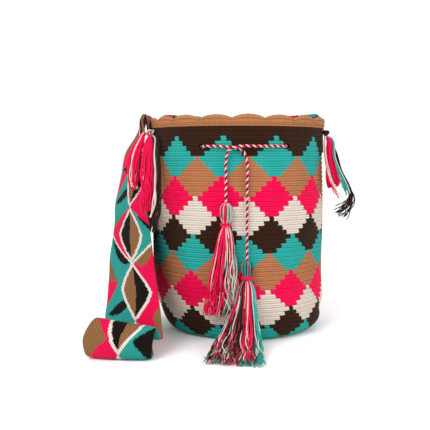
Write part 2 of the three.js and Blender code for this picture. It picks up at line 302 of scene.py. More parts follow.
def thread(name, color):
    """Loose twisted yarn: across goes once round the strand, along counts millimetres."""
    nodes = Nodes(name, color, sheen=0.06)
    across, along = nodes.stitch()
    twist = nodes.math("MULTIPLY_ADD", along, 0.35, across)
    ply = nodes.wave(twist)
    nodes.bump(nodes.math("MULTIPLY_ADD", nodes.noise(2500.0, FIBRE_DETAIL), 0.3, ply), 0.0004)
    # painted shade: the colour darkens between the plies of the twist
    nodes.shade(color, nodes.math("MULTIPLY_ADD", ply, 0.3, 0.7))
    return nodes.material


CROCHET = {name: crochet("crochet_" + name, color) for name, color in PALETTE.items()}
WOVEN = {name: woven("woven_" + name, color) for name, color in STRAP_PALETTE.items()}
THREAD = {name: thread("thread_" + name, color) for name, color in PALETTE.items()}
# the edging's crochet, with deeper painted shade (0.6) in the grooves between its stitches
EDGING = {"tan": crochet("edging_tan", linear(163, 107, 67), 0.6)}

# ---------------------------------------------------------------- drawstring
# From the right tassel to the left one: degrees round from the front, radius and height, in millimetres.
DRAWSTRING_ROUTE = [
    (3.9, 117.6, 101.5),
    (4, 115, 140),
    (4, 113.8, 190),
    (3.7, 113.5, 217),
    (1.6, 113.5, 227.5),
    (-3.5, 113.4, 231.3),
    (-9.5, 113.3, 232.4),
    (-15, 113.4, 233),
    (-20, 112.9, 233),
    (-27, 103.9, 233),
    (-32.5, 103.5, 233),
    (-62, 103.5, 233),
    (-90, 103.5, 233),
    (-118, 103.5, 233),
    (-141, 103.5, 233),
    (-146.5, 103.9, 233),
    (-153.5, 112.9, 233),
    (-159, 113.4, 233),
    (-180, 113.4, 233),
    (-201, 113.4, 233),
    (-206.5, 112.9, 233),
    (-213.5, 103.9, 233),
    (-219, 103.5, 233),
    (-242, 103.5, 233),
    (-270, 103.5, 233),
    (-298, 103.5, 233),
    (-321, 103.5, 233),
    (-326.5, 103.9, 233),
    (-333.5, 112.9, 233),
    (-339, 113.4, 233),
    (-345, 114.8, 233),
    (-350.5, 117.4, 232.8),
    (-357, 118, 233.2),
    (-362.5, 117.4, 232),
    (-366.8, 115.8, 227.5),
    (-368.1, 114.5, 218),
    (-368.2, 114.4, 198),
    (-368.1, 118.2, 168.5),
]
CORD_DIAMETER = 3.5
CORD_STRAND = 0.98  # radius of each of its three strands
CORD_PITCH = 7.5
CORD_STEP = 1.1
ROUTE_STEPS = 8


def drawstring():
    """Three strands twisted round the route."""
    route = np.array(DRAWSTRING_ROUTE)
    points = around(*smooth_rows(route, around(*route.T), ROUTE_STEPS).T)
    path, along = even_rows(points, points, CORD_STEP)
    heading = normalised(np.gradient(path, axis=0))
    side = np.cross(heading[0], (1, 0, 0))
    skin = Skin()
    sides = []
    for direction in heading:
        side = normalised(side - direction * np.dot(side, direction))
        sides.append(side)
    sides = np.array(sides)
    ups = np.cross(heading, sides)
    lay = CORD_DIAMETER / 2 - CORD_STRAND
    for k, colour in enumerate(("cream", "pink", "brown")):
        turn = 2 * math.pi * (along / CORD_PITCH + k / 3)
        strand = path + lay * (np.cos(turn)[:, None] * sides + np.sin(turn)[:, None] * ups)
        skin.tube(strand, CORD_STRAND, colour)
    made = skin.object("drawstring_cord", THREAD)
    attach(made, "root")
    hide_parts("drawstring")


drawstring()

# ---------------------------------------------------------------- crocheted body
BAG_RADIUS = 110.0
BASE_RADIUS = 83.0
WALL = 3.5
BODY_TOP = 257.0
CORNER_HEIGHT = 50.0
BASE_SHIFT = 5.0
SHIFT_HEIGHT = 80.0
EYELETS = (-23.5, 30, 150, -150)
EYELET_HEIGHT = 233.0
REPEATS = 11
UNITS = 10  # pattern units in a repeat, each two stitches wide
UNIT_COLUMNS = 3
COLUMNS = REPEATS * UNITS * UNIT_COLUMNS
FIRST_TIP = -10.1  # degrees: the first teal tip
DRIFT = -0.17  # degrees for each pattern row down
TOP_ROWS = 2  # plain rows over the first tips
ROWS = 48
UPPER_ROWS = 16
TIPS_DOWN = 12.0  # from the top edge to the first tips
UPPER_ROW, LOWER_ROW = 5.875, 5.42  # heights of a row
# Two courses make a row. Rings across it: share of the row, height of the rib there, and the stitches' lean in degrees.
RIB = ((0.0, -1.1, -0.28), (0.25, 0.3, -0.05), (0.5, -0.1, 0.1), (0.75, 0.3, 0.3))
DIAMOND_ROWS = 8  # from a tip to the next band's tip, one step of the colours
DIAMOND_HALF = 4.5  # half its width in units at the widest row, and one unit less for each row above or below
BASE_RINGS = 13
BASE_RIB = 0.35
CENTRE_GAP = 3.0  # the last ring's distance from the middle of the base
INSIDE_DROP = 1.0
INSIDE_BASE = (60.0, 30.0, CENTRE_GAP)  # distances of the inside's last rings from the middle of the base
EYELET_BORE = (5.2, 3.3)  # half length and half height of the gap in the stitches
EYELET_RIM = (5.4, 3.5)
EYELET_RIM_YARN = 1.15
EYELET_DROP = 0.7  # from a ring to the middle of the faces under it
# Bands of diamonds down the bag, and the diamonds between them, which start half a diamond lower
A_COLOURS = ("teal", "pink", "brown", "tan", "cream")
B_COLOURS = ("tan", "cream", "teal", "pink", "brown")


def corner_arc(steps=60):
    """The rounded corner from the wall down to the base, as radius and height."""
    turn = np.linspace(math.pi / 2, 0, steps)
    return BASE_RADIUS + (BAG_RADIUS - BASE_RADIUS) * np.sin(turn), CORNER_HEIGHT * (1 - np.cos(turn))


def meridian():
    """The bag's side from its top edge to the middle of the base, as distance, radius and height."""
    radius, height = corner_arc()
    radius = np.concatenate([[BAG_RADIUS], radius, [0.0]])
    height = np.concatenate([[BODY_TOP], height, [0.0]])
    far = np.concatenate([[0], np.cumsum(np.hypot(np.diff(radius), np.diff(height)))])
    return far, radius, height


FAR, MERIDIAN_R, MERIDIAN_Z = meridian()
SLOPE_STEP = 1.5  # the side's slope is taken between points so far up and down from one


def on_side(distance, inset):
    """A point of the meridian so far down from the top edge, set in from the surface."""
    r, z = np.interp(distance, FAR, MERIDIAN_R), np.interp(distance, FAR, MERIDIAN_Z)
    step = SLOPE_STEP
    dr = np.interp(distance + step, FAR, MERIDIAN_R) - np.interp(distance - step, FAR, MERIDIAN_R)
    dz = np.interp(distance + step, FAR, MERIDIAN_Z) - np.interp(distance - step, FAR, MERIDIAN_Z)
    size = math.hypot(dr, dz)
    return r + inset * dz / size, z - inset * dr / size


def row_distance(row):
    """How far down from the top edge a pattern row starts. Row 0 is the top tip."""
    upper = min(row, UPPER_ROWS)
    return TIPS_DOWN + upper * UPPER_ROW + (row - upper) * LOWER_ROW


def diamond(row, unit):
    """The yarn of one unit of a pattern row."""
    if row < 0:
        return "brown"
    half_rows = DIAMOND_ROWS // 2
    step, within = divmod(row, DIAMOND_ROWS)
    offset = (unit + UNITS / 2) % UNITS - UNITS / 2
    if abs(offset) < DIAMOND_HALF - abs(within - half_rows):
        return A_COLOURS[step % len(A_COLOURS)]
    if row < half_rows:
        return "brown"
    return B_COLOURS[(row - half_rows) // DIAMOND_ROWS % len(B_COLOURS)]


def hump(value, centre, width):
    return np.exp(-(((value - centre) / width) ** 2))


def bag_deform(points):
    """The soft bag's own unevenness: its base off centre, a fold low at the right, a push in low at the left.

    The sizes are in millimetres, and the angles in radians round from the front."""
    p = points.copy()
    x, y, z = p[:, 0].copy(), p[:, 1].copy(), p[:, 2]
    angle = np.arctan2(x, -y)
    radius = np.hypot(x, y)
    share = np.clip(radius / BAG_RADIUS, 0, 1)
    swell = 0.55 * np.sin(3 * angle + z / 37) + 0.4 * np.sin(5 * angle - z / 24 + 1.3)
    low = np.clip(1 - z / SHIFT_HEIGHT, 0, 1)
    fold = 2.6 * hump(z, 11, 9) - 2.2 * hump(z, 27, 9)
    push = fold * hump(angle, 1.45, 0.7) - 3.5 * hump(angle, -1.5, 0.7) * hump(z, 24, 22)
    fade = np.clip((BODY_TOP - z) / 25, 0, 1)
    radius = radius + share * (swell * fade + push)
    p[:, 0] = radius * np.sin(angle) + BASE_SHIFT * smooth_step(low)
    p[:, 1] = -radius * np.cos(angle)
    p[:, 2] = np.maximum(z, 0.0)
    return p


def in_eyelet(degrees, height):
    half_length, half_height = EYELET_BORE
    return any(
        ((((degrees - e + 180) % 360) - 180) * math.radians(BAG_RADIUS) / half_length) ** 2
        + ((height - EYELET_HEIGHT) / half_height) ** 2
        < 1
        for e in EYELETS
    )


def body_rings():
    """Rings down the outside from the top edge: distance, rib height, stitches' lean, row and share of the row."""
    rings = []
    for row in range(-TOP_ROWS, ROWS - TOP_ROWS):
        start, end = row_distance(row), row_distance(row + 1)
        for t, rib, lean in RIB:
            rings.append((start + (end - start) * t, rib, lean, row, t))
    return rings


def bag_body():
    """The crochet outside and inside, with gaps at the eyelets and a rim of yarn round each."""
    skin = Skin()
    column = np.arange(COLUMNS)

    def ring(row, r, z, lean=0.0):
        degrees = FIRST_TIP + (column - UNIT_COLUMNS / 2) * 360 / COLUMNS + DRIFT * max(row, 0) + lean
        return skin.add(bag_deform(around(degrees, r, np.full(COLUMNS, z))))

    ring_starts, ring_info = [], []
    for distance, rib, lean, row, t in body_rings():
        r, z = on_side(distance, -rib)
        ring_starts.append(ring(row, r, z, lean))
        ring_info.append((row, t, z))
    end_row = ROWS - TOP_ROWS
    base_start, base_end = row_distance(end_row), FAR[-1] - CENTRE_GAP
    for i in range(BASE_RINGS):
        distance = base_start + (base_end - base_start) * i / (BASE_RINGS - 1)
        r, z = on_side(min(distance, base_end), 0.0 if i % 2 else BASE_RIB)
        ring_starts.append(ring(end_row, r, max(z, 0.0)))
        ring_info.append((None, 0, z))
    nominal = FIRST_TIP + (column - (UNIT_COLUMNS - 1) / 2) * 360 / COLUMNS

    def band(upper, lower, info, flip=False):
        """The faces between two rings. info is the upper ring's row (None on the base), share of the row and height."""
        row, t, z = info
        for i in range(COLUMNS):
            k = (i + 1) % COLUMNS
            unit = i // UNIT_COLUMNS
            slot = "brown" if row is None else diamond(row, unit % UNITS)
            degrees = nominal[i] + (DRIFT * max(row, 0) if row is not None else 0)
            if row is not None and in_eyelet(degrees, z - EYELET_DROP):
                continue
            v0 = 2 * ((row or 0) + t)
            u0, u1 = 2 * i / UNIT_COLUMNS, 2 * (i + 1) / UNIT_COLUMNS
            uv = [(u0, v0), (u1, v0), (u1, v0 + 0.5), (u0, v0 + 0.5)]
            quad = (upper + i, upper + k, lower + k, lower + i)
            if flip:
                skin.face(quad, slot, uv)
            else:
                skin.face(quad[::-1], slot, uv[::-1])

    for a, b, info in zip(ring_starts, ring_starts[1:], ring_info):
        band(a, b, info)
    middle = skin.add(bag_deform(np.array([[0.0, 0.0, 0.0]])))
    for i in range(COLUMNS):
        skin.face((middle, ring_starts[-1] + (i + 1) % COLUMNS, ring_starts[-1] + i)[::-1], "brown")

    # the inside, in the same yarn, one ring for every second pattern row
    inside, inside_info = [ring_starts[0]], [(-TOP_ROWS, 0.0, BODY_TOP)]
    for row in range(-TOP_ROWS, ROWS - TOP_ROWS, 2):
        r, z = on_side(row_distance(row) + INSIDE_DROP, WALL)
        inside.append(ring(row, r, z))
        inside_info.append((row, 0.0, z))
    for short in INSIDE_BASE:
        r, z = on_side(FAR[-1] - short, WALL)
        inside.append(ring(row, r, z))
        inside_info.append((None, 0, z))
    for a, b, info in zip(inside, inside[1:], inside_info):
        band(a, b, info, flip=True)
    middle = skin.add(bag_deform(np.array([[0.0, 0.0, WALL]])))
    for i in range(COLUMNS):
        skin.face((middle, inside[-1] + (i + 1) % COLUMNS, inside[-1] + i), "brown")

    for e in EYELETS:
        for radius in (BAG_RADIUS + 0.1, BAG_RADIUS - WALL + 0.2):
            turn = np.linspace(0, 2 * math.pi, 25)
            arc = e + np.degrees(EYELET_RIM[0] * np.cos(turn) / BAG_RADIUS)
            height = EYELET_HEIGHT + EYELET_RIM[1] * np.sin(turn)
            skin.tube(around(arc, radius, height), EYELET_RIM_YARN, "brown")
    made = skin.object("crocheted_body", CROCHET)
    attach(made, "root")
    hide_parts("bag_body")


bag_body()

# ---------------------------------------------------------------- scalloped edging
SCALLOPS = 18
SHELL_STITCHES = 6
STITCH_COLUMNS = 6
FIRST_VALLEY = -5.0  # degrees
EDGING_COLUMNS = SCALLOPS * SHELL_STITCHES * STITCH_COLUMNS
SHELL_RISE = 4.8
SHELL_SWELL = 0.5  # how far a shell's middle stands out
SHELL_SWAY = 0.3  # the tops' unevenness round the mouth, in so many waves
SWAY_WAVES = 7
SHELL_FAN = 1.6  # spread of a shell's stitches at its top, in columns
STITCH_DEPTH = 0.45
STITCH_SLANT = 0.35 / 6  # stitches for each millimetre up
SLANT_FROM = 259
OUTLINE_COURSE = 0.35  # courses between two rows of the outline


def edging():
    """A crocheted lip: two plain rounds, then a row of shells whose stitches fan out to round tops."""
    skin = Skin()
    outline = [  # radius, height, share of the shell's rise, and share of the stitches' depth
        (107.4, 256.6, 0, 0),
        (110.6, 256.2, 0, 0),
        (111.7, 257.6, 0, 0.2),
        (111.5, 258.6, 0, 0.2),
        (111.0, 259.0, 0, 0),
        (112.2, 259.8, 0, 0.2),
        (112.2, 260.7, 0, 0.2),
        (111.3, 261.3, 0.1, 0.1),
        (112.0, 262.2, 0.3, 0.9),
        (111.8, 263.2, 0.6, 1),
        (111.2, 264.1, 0.85, 1),
        (110.0, 265.0, 1, 0.8),
        (108.6, 264.7, 1, 0.6),
        (107.4, 263.6, 0.9, 0.6),
        (106.9, 261.5, 0.5, 0.3),
        (107.0, 258.8, 0, 0.1),
    ]
    column = np.arange(EDGING_COLUMNS)
    degrees = FIRST_VALLEY + column * 360 / EDGING_COLUMNS
    phase = (column / EDGING_COLUMNS * SCALLOPS) % 1.0
    swell = np.sin(math.pi * phase) ** 0.75
    stitch = column / STITCH_COLUMNS
    starts = []
    for i, (r, z, rise, rib) in enumerate(outline):
        slant = STITCH_SLANT * (z - SLANT_FROM)
        ridge = STITCH_DEPTH * rib * (np.abs(np.sin(math.pi * (stitch + slant))) - 0.5)
        sway = SHELL_SWAY * np.sin(np.radians(degrees) * SWAY_WAVES + 1) * rise
        fan = SHELL_FAN * rise * (phase - 0.5) * 360 / EDGING_COLUMNS
        radius, height = r + ridge + SHELL_SWELL * rise * swell, z + rise * SHELL_RISE * swell + sway
        starts.append(skin.add(around(degrees + fan, radius, height)))
    count = len(outline)
    for i in range(count):
        a, b = starts[i], starts[(i + 1) % count]
        for j in range(EDGING_COLUMNS):
            k = (j + 1) % EDGING_COLUMNS
            u0, u1 = j / STITCH_COLUMNS, (j + 1) / STITCH_COLUMNS
            v0, v1 = i * OUTLINE_COURSE, (i + 1) * OUTLINE_COURSE
            uv = [(u0, v0), (u1, v0), (u1, v1), (u0, v1)]
            skin.face((a + j, a + k, b + k, b + j), "tan", uv)
    made = skin.object("edging", EDGING)
    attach(made, "root")
    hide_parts("scalloped_edging")


edging()

# ---------------------------------------------------------------- strap
# Sections across the band, as the frame has them: the middle (degrees round from the front, radius, height) and
# the step to the edge that lies nearer the back, in millimetres.
STRAP_ROUTE = [
    (-91, 112.9, 226, -14, 0, 0),
    (-91, 113.1, 243, -14, 0, 0),
    (-91, 115.2, 258, -14, 0, 0),
    (-91, 116.4, 267.5, -14, 0, 0),
    (-91.5, 120, 273.5, -14.5, 0, 0),
    (-91, 123.8, 268.5, -15, 0.8, 0),
    (-90, 126, 256, -15, 4, 0),
    (-86.5, 138.5, 225, -15, 12, 0),
    (-81.5, 141, 195, -14.3, 12.5, 0),
    (-77, 143.5, 162, -14.5, 15.5, 0),
    (-68.4, 146, 130, -14.5, 13.6, 0),
    (-60.2, 153.7, 101, -14.1, 12.5, 0),
    (-52.1, 163.9, 75, -13.4, 10, 0),
    (-44.2, 179.5, 44, -12.4, 8.9, 0),
    (-39.4, 193, 22, -10.6, 12.3, 2),
    (-37.4, 209, 38, -8.4, 17, 4.5),
    (-36.8, 223.5, 20, -8.4, 20.5, 2.5),
    (-37.2, 220.5, 4.6, -8.1, 19, 0.4),
    (-39, 208.5, 2.9, -8.4, 18, 0),
    (-44.5, 187, 4.6, -7.9, 18, -1.8),
    (-53, 165, 21, -8.5, 11, -13),
    (-62.5, 145, 56, -12, 3, -24),
    (-77.5, 128, 107, -15, 0, -26),
    (-97, 120.5, 163, -16.5, 0, -25),
    (-123, 118.6, 219, -18.5, 0, -20),
    (-132.5, 117.4, 250, -19, 0, -7),
    (-134.5, 117.2, 266, -19.5, 0, -1.5),
    (-135.5, 109.8, 276.2, -19.5, 0, 0),
    (-136.5, 102.8, 265.5, -19.5, 0, 1),
    (-141.5, 98.6, 245, -17.5, 0, 9),
    (-152, 95, 225, -13.5, 0.5, 21),
    (-166, 92.5, 212, -5, 3, 29),
    (-180, 92, 208, 0, 3.5, 31),
    (-194, 92.5, 212, 5, 3, 29),
    (-208, 95, 225, 13.5, 0.5, 21),
    (-223, 98.6, 245, 17.5, 0, 9),
    (-236, 102.8, 265.5, 19, 0, 1),
    (-238, 109.8, 276.2, 18.5, 0, 0),
    (-240, 117, 266, 18, 0, 0),
    (-246, 114.6, 250, 16, 0, 0),
    (-252, 112.9, 226, 14, 0, 0),
]
STRAP_WIDTH = 77.0
STRAP_THICKNESS = 4.4
STRAP_COLUMNS = 56
STRAP_STEP = 2.0
STRAP_ROUTE_STEPS = 12
STRAP_THREAD = 1.9
EDGE_ROUNDNESS = 7  # the higher, the squarer the band's edges
EDGE_HALF = 0.25  # half the thickness left at the very edge
EDGE_RIPPLE = 0.35
RIPPLE_WAVES = (9.0, 23.0)

# The weave: a row of lenses down the middle, numbered along the band, with a field of pink or teal at each side.
LENS_PERIOD = 80.0
LENS_HEIGHT = 66.0  # a lens is centred on the front leg at this height
FRONT_LENS = 101  # and this is its number
FRONT_LEG = 60  # the front leg starts beyond this distance along the band
LENS_HALF = 0.57  # half its width, as a share of the band's half width
LENS_CURVE = 1.35
LENS_LINE = 0.105  # width of the white line round it
MIDDLE_DRIFT = (  # where the row of lenses wanders across the band: lens number and shift
    (98.8, -0.9),
    (99.4, -0.25),
    (100, -0.1),
    (101, -0.25),
    (102.5, 0),
)


def field_top(lens, a):
    """Where the field beside a lens starts, at a share a of the way to the band's edge."""
    a = min(a, 1)
    return lens - 0.5 + (-0.45 * a if lens % 4 == 1 else 0.35 * a)


def strap_colour(u, v):
    """The yarn at a place on the band: u from -1 to 1 across it, v in lens periods along it.

    The figures are shares of the half width across, and of a lens period along."""
    a = abs(u)
    k = math.floor(v + 0.5)
    edge = LENS_HALF * (1 - (2 * abs(v - k)) ** LENS_CURVE)
    if a < edge - LENS_LINE:
        return "brown" if (u > 0) == (k % 2 == 0) else "tan"
    if a < edge:
        return "cream"
    lens = k + 1 if v >= field_top(k + 1, a) else k - 1 if v < field_top(k, a) else k
    teal = (lens % 2 == 0) != (u > 0)
    yarn, arm = ("teal", "brown") if teal else ("pink", "tan")
    if a > 1.3:  # the weave's middle line has wandered off the other way
        return yarn
    above = v - field_top(lens, a)
    spread = math.sin(math.pi * min(1.0, max(0.0, a - 0.08) / 0.92))
    if lens % 2:  # a white line or none, an arm under it and another at the foot, and a half lens at the edge
        if lens % 4 == 1 and above < 0.045:
            return "cream"
        if above < 0.045 + 0.2 * spread:
            return arm
        if abs(v - lens - 0.12 - 0.35 * a) < 0.1 * spread and teal:
            return arm
        if not teal and a > 0.55 and abs(v - lens - 0.42) < 0.42 * (a - 0.55) / 0.45:
            return arm
        if teal and abs(v - lens + 0.1) < 0.3 * (a - 0.7) / 0.3:
            return "tan" if v < lens - 0.1 else "pink"
        return yarn
    middle = lens + (0.3 if lens % 4 == 2 else -0.35)
    if a > 0.35 and abs(v - middle) < 0.3 * (a - 0.35) / 0.65:
        return arm
    return yarn


def strap():
    """The band as two skins with a rounded edge, and a colour for each cell of its weave."""
    route = np.array(STRAP_ROUTE, float)
    rows = smooth_rows(route, around(*route[:, :3].T), STRAP_ROUTE_STEPS)
    rows, along = even_rows(rows, around(*rows[:, :3].T), STRAP_STEP)
    u = np.linspace(-1, 1, STRAP_COLUMNS + 1)
    middle = around(
        rows[:, :1] + u * rows[:, 3:4], rows[:, 1:2] + u * rows[:, 4:5], rows[:, 2:3] + u * rows[:, 5:6]
    )
    lengthways = np.gradient(middle, axis=0)
    sideways = np.gradient(middle, axis=1)
    normal = normalised(np.cross(sideways, lengthways))
    half = STRAP_THICKNESS / 2 * np.sqrt(np.clip(1 - np.abs(u) ** EDGE_ROUNDNESS, 0.0, 1))
    half = np.maximum(half, EDGE_HALF)[None, :, None]
    short, long = (np.sin(along / wave + shift) for wave, shift in zip(RIPPLE_WAVES, (1.0, 0.0)))
    ripple = (EDGE_RIPPLE * short * long)[:, None, None] * (np.abs(u) ** 3)[None, :, None]
    outer, inner = middle + normal * (half + ripple), middle - normal * (half - ripple)
    leg = np.argmax((rows[:, 2] < LENS_HEIGHT) & (along > FRONT_LEG))
    v = FRONT_LENS + (along - along[leg]) / LENS_PERIOD
    drift = np.interp(v, *zip(*MIDDLE_DRIFT))
    skin = Skin()
    wide = STRAP_COLUMNS + 1
    sheets = [skin.add(outer), skin.add(inner)]
    thread_across, thread_along = STRAP_WIDTH / STRAP_COLUMNS / STRAP_THREAD / 2, STRAP_STEP / STRAP_THREAD / 2
    for i in range(len(rows) - 1):
        for j in range(STRAP_COLUMNS):
            colour = strap_colour((u[j] + u[j + 1]) / 2 - drift[i], (v[i] + v[i + 1]) / 2)
            cells = [(i, j), (i, j + 1), (i + 1, j + 1), (i + 1, j)]
            uv = [(y * thread_across, x * thread_along) for x, y in cells]
            for sheet, start in enumerate(sheets):
                corners = [start + x * wide + y for x, y in cells]
                if sheet:
                    skin.face(corners[::-1], colour, uv[::-1])
                else:
                    skin.face(corners, colour, uv)
    # the band's rim, once round, closed between the two skins
    last = len(rows) - 1
    loop = [(0, j) for j in range(STRAP_COLUMNS)] + [(i, STRAP_COLUMNS) for i in range(last)]
    loop += [(last, j) for j in range(STRAP_COLUMNS, 0, -1)] + [(i, 0) for i in range(last, 0, -1)]
    for (i, j), (k, m) in zip(loop, loop[1:] + loop[:1]):
        colour = strap_colour(u[j] * 0.98, v[i])
        a, b = sheets
        skin.face((a + k * wide + m, a + i * wide + j, b + i * wide + j, b + k * wide + m), colour)
    made = skin.object("woven_strap", WOVEN)
    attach(made, "root")
    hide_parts("strap")


strap()

# ---------------------------------------------------------------- yarn bundles
# Sections down each bundle, as the frame has them: middle (x, y, z), half width and half depth, in millimetres.
LEFT_TASSEL = [
    (-16.6, -117.2, 168, 2.4, 2.4),
    (-16.6, -117.2, 164.5, 6.2, 5.8),
    (-16.6, -117.2, 157, 7.8, 7.2),
    (-16.6, -117.2, 149.5, 6.6, 6.4),
    (-16.6, -117.2, 145.4, 4.8, 4.8),
    (-16.6, -117.2, 140.6, 4.8, 4.8),
    (-16.7, -117.5, 134, 7.5, 6),
    (-17.6, -118, 112, 11.5, 6.6),
    (-19.6, -118, 75, 15.5, 6.8),
    (-22, -118, 37, 19, 6.8),
]
RIGHT_TASSEL = [
    (8, -117.4, 101, 2.2, 2.2),
    (8, -117.4, 98, 5.4, 5.2),
    (8, -117.4, 92, 6.6, 6.3),
    (8, -117.4, 86.5, 5.8, 5.6),
    (8, -117.4, 83.4, 4.6, 4.6),
    (8, -117.6, 78.6, 4.6, 4.6),
    (7.6, -119.5, 71, 9, 6),
    (5.5, -129.5, 50, 13.5, 7),
    (1, -146, 27, 21, 7),
    (-4, -168, 10.5, 27, 5.5),
    (-9, -197, 4.6, 30, 4),
]
FRINGES = {
    "fringe_left_pink": [
        (-109.5, -42, 245, 3, 2.5),
        (-111, -50, 235, 6, 3),
        (-111.5, -58, 222, 7, 3.5),
        (-111, -76, 190, 7.5, 4),
        (-111, -92, 156, 6, 3.5),
    ],
    "fringe_left_short": [
        (-116.5, -43.5, 249, 2.5, 2.3),
        (-122, -45.5, 238, 5.5, 3),
        (-128, -49.5, 221, 7, 3.5),
        (-130, -54.5, 203, 7.5, 3.5),
        (-129, -58, 190, 6, 3.2),
        (-127, -60, 181, 4, 2.5),
    ],
    "fringe_left_white": [
        (-103.5, -48, 245, 1.3, 1.3),
        (-103, -62, 225, 1.3, 1.3),
        (-100, -85, 200, 1.3, 1.3),
        (-99.5, -98, 175, 1.3, 1.3),
        (-105, -104, 150, 1.3, 1.3),
    ],
    "fringe_left_dark": [
        (-99.5, -53.5, 243, 1.5, 1.5),
        (-98, -62, 225, 2, 2),
        (-96, -76, 195, 2.6, 2.4),
        (-96, -92, 165, 2.8, 2.6),
        (-101, -108, 133, 3.8, 3),
    ],
    "fringe_right_pink": [
        (112.3, -36.5, 243.5, 2.4, 2.3),
        (113.5, -38, 222, 5, 3.5),
        (117.5, -40, 200, 7.5, 4.2),
        (120, -42, 183, 8, 4),
    ],
    "fringe_right_white": [
        (107.8, -42, 243.5, 1.3, 1.3),
        (109.5, -46, 212, 1.5, 1.5),
        (115.5, -50, 188, 2.2, 1.8),
        (125, -52, 170, 5, 2.2),
    ],
    "fringe_right_teal": [
        (116.8, -38, 243, 1.5, 1.5),
        (119.5, -42, 222, 1.8, 1.8),
        (127, -47, 198, 2.4, 2),
        (136, -50, 174, 4.5, 2.6),
    ],
    "fringe_right_dark": [
        (113.5, -30, 243, 2, 2),
        (121, -30, 230, 2.4, 2.2),
        (129.5, -31, 202, 2.8, 2.4),
        (139.5, -32, 182, 3, 2.5),
        (143.5, -32, 172, 3.2, 2.6),
        (139, -32, 160, 6, 3),
        (128, -33, 147, 10, 3),
    ],
}
STRAND_RADIUS = 0.62
FAT_STRAND = 0.75  # radius of the fringes' thicker yarn
STRAND_STEP = 2.2
BUNDLE_STEPS = 5
WANDER = 0.3  # radians that a strand drifts round its bundle
STRAY_SHARE, STRAY = 0.3, 2.5  # this share of the strands drifts so many times further
LOOSE_FROM = 0.35  # share of a strand's length from where it may curl
CURL_WAVES = (34, 70)
CURL_TURNS = (6.28, 5.1, 4.3)  # radians for each wave, in x, y and z, so that the three don't keep step
CURL_HEIGHT = 0.4
END_TAPER = 0.6


def bundle_frame(stations):
    """Smooth sections down a bundle, with the directions of their width and depth."""
    stations = np.array(stations, float)
    rows = smooth_rows(stations, stations[:, :3], BUNDLE_STEPS)
    heading = normalised(np.gradient(rows[:, :3], axis=0))
    wide = normalised(np.array([1.0, 0, 0]) - heading * heading[:, :1])
    return rows, wide, np.cross(heading, wide)


def yarn_strand(
    skin, bundle, turn, out, colour, rng, first=0, last=None, curl=0.0, radius=STRAND_RADIUS, floor=None, sweep=0.0
):
    """One strand down a bundle, at a place in its section, loosening and curling towards its end.

    turn and out place it in the section: radians round, and share of the way out. It runs between two of the
    bundle's rows, drifts round by sweep, and stays above the floor where one is given."""
    rows, wide, deep = bundle
    last = len(rows) if last is None else last
    rows, wide, deep = rows[first:last], wide[first:last], deep[first:last]
    t = np.linspace(0, 1, len(rows))
    wander = sweep + rng.uniform(-WANDER, WANDER) * (STRAY if curl and rng.random() < STRAY_SHARE else 1)
    a = turn + wander * t
    width = np.maximum(rows[:, 3] - radius, 0.1) * out
    depth = np.maximum(rows[:, 4] - radius, 0.1) * out
    points = rows[:, :3] + (width * np.cos(a))[:, None] * wide + (depth * np.sin(a))[:, None] * deep
    wave = rng.uniform(*CURL_WAVES)
    phase = rng.uniform(0, 6.28)
    loose = curl * smooth_step(np.clip((t - LOOSE_FROM) / (1 - LOOSE_FROM), 0, 1))
    fine, at = even_rows(np.column_stack([points, loose]), points, STRAND_STEP)
    x, y, z = (at / wave * turns for turns in CURL_TURNS)
    swing = fine[:, 3:4] * np.column_stack([np.sin(x + phase), np.cos(y + phase), CURL_HEIGHT * np.sin(z)])
    path = fine[:, :3] + swing
    if floor is not None:
        path[:, 2] = np.maximum(path[:, 2], floor)
    ends = np.full(len(path), radius)
    ends[0] = ends[-1] = radius * END_TAPER
    skin.tube(path, ends, colour, sides=5)


HEAD_STRANDS = 26
HEAD_CORE = 0.6  # how far out the strands inside the head lie
NECK_STATION = 5  # where a tassel's skirt starts
PLACE_JITTER = 0.3  # of the distance between two strands
SKIRT_CORE = (0.3, 0.8)  # how far out the strands inside the skirt lie
SKIRT_CURL = (0.8, 4.2)


def tassel(name, node, stations, strands, colour_at, seed, sweep):
    """A head of yarn bound at the neck over a loose skirt, which turns by sweep on its way down."""
    rng = random.Random(seed)
    bundle = bundle_frame(stations)
    skin = Skin()
    start = NECK_STATION * BUNDLE_STEPS
    for i in range(HEAD_STRANDS):
        turn = 2 * math.pi * i / HEAD_STRANDS
        yarn_strand(skin, bundle, turn, 1.0, colour_at(turn, rng, True), rng, 0, start + 2)
    core = HEAD_STRANDS // 2
    for i in range(core):
        yarn_strand(skin, bundle, 2 * math.pi * i / core, HEAD_CORE, colour_at(0, rng, True), rng, 0, start + 2)
    for i in range(strands):
        turn = 2 * math.pi * (i + rng.uniform(-PLACE_JITTER, PLACE_JITTER)) / strands
        out = 1.0 if i % 3 else rng.uniform(*SKIRT_CORE)
        last = len(bundle[0]) - rng.choice((0, 0, 0, 1, 2))
        curl = rng.uniform(*SKIRT_CURL)
        colour = colour_at(turn, rng, False)
        yarn_strand(skin, bundle, turn, out, colour, rng, start, last, curl, floor=STRAND_RADIUS, sweep=sweep)
    made = skin.object(name, THREAD)
    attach(made, "root")
    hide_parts(node)


def left_colours(turn, rng, head):
    """The left tassel's yarn at so many radians round it, in the head or in the skirt."""
    side = math.cos(turn)
    if head:
        return rng.choice(("brown", "cream", "teal")) if side > 0.2 else rng.choice(("pink", "pink", "cream"))
    if side < -0.05:
        return rng.choice(("pink", "pink", "pink", "pink", "cream"))
    return rng.choice(("cream", "teal", "teal", "brown", "pink", "cream"))


def right_colours(turn, rng, head):
    """The right tassel's yarn, in the same way."""
    side = math.cos(turn)
    if head:
        return rng.choice(("teal", "teal", "pink", "brown"))
    if side > 0.55:
        return rng.choice(("teal", "teal", "teal", "cream"))
    if side > -0.2:
        return rng.choice(("pink", "pink", "cream", "brown"))
    return rng.choice(("teal", "brown", "pink", "cream", "brown"))


